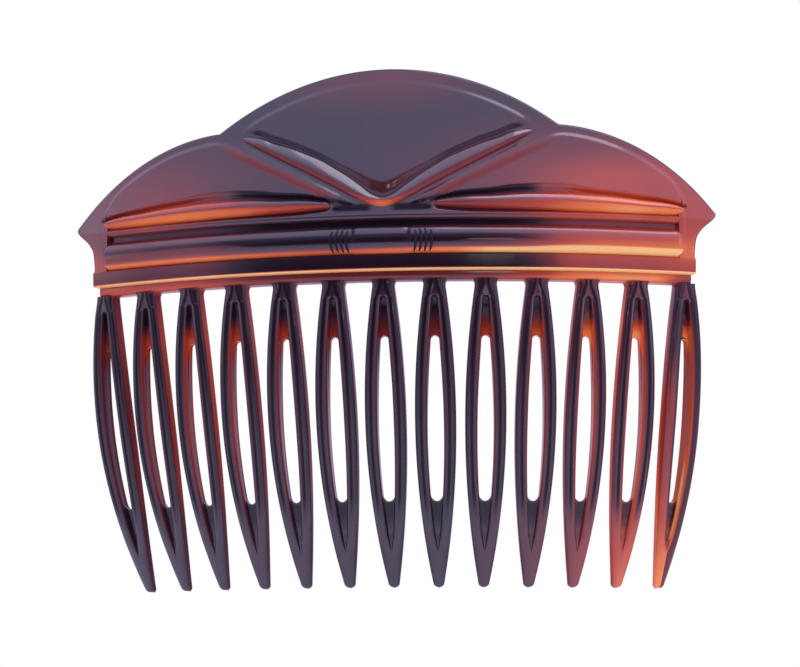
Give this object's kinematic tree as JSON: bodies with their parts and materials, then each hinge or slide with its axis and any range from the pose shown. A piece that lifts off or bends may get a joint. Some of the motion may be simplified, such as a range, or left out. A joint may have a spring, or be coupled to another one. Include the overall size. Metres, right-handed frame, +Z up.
{
  "type": "decorative hair comb",
  "caption": "Curved side comb for the hair, with a three-lobed crest in raised relief over a row of long open teeth that bend in towards the head.",
  "frame": {"origin": "middle of the flat underside of the lip at the foot of the bar, in front of the teeth", "axes": "+Z up the comb towards the crest, so the teeth point along -Z; -Y is the decorated convex face, +Y faces the head; +X to the right seen from the front"},
  "size_m": [0.0876, 0.0223, 0.0705],
  "materials": {
    "tortoiseshell": "polished, mottled dark brown with amber-red where light comes through"
  },
  "bodies": {
    "root": {"hair_stop_lip": "tortoiseshell", "bar_flange": "tortoiseshell", "bar_web": "tortoiseshell", "bar_bead": "tortoiseshell", "upper_bead": "tortoiseshell", "centre_sleeve": "tortoiseshell", "left_claws": "tortoiseshell", "right_claws": "tortoiseshell", "left_stile": "tortoiseshell", "right_stile": "tortoiseshell", "crest_plate": "tortoiseshell", "crest_rim": "tortoiseshell", "left_rib": "tortoiseshell", "right_rib": "tortoiseshell", "centre_panel": "tortoiseshell", "left_panel": "tortoiseshell", "right_panel": "tortoiseshell", "centre_chevron": "tortoiseshell", "left_leaf": "tortoiseshell", "right_leaf": "tortoiseshell", "tooth_rail": "tortoiseshell", "tooth_01": "tortoiseshell", "tooth_02": "tortoiseshell", "tooth_03": "tortoiseshell", "tooth_04": "tortoiseshell", "tooth_05": "tortoiseshell", "tooth_06": "tortoiseshell", "tooth_07": "tortoiseshell", "tooth_08": "tortoiseshell", "tooth_09": "tortoiseshell", "tooth_10": "tortoiseshell", "tooth_11": "tortoiseshell", "tooth_12": "tortoiseshell", "tooth_13": "tortoiseshell"}
  },
  "joints": []
}
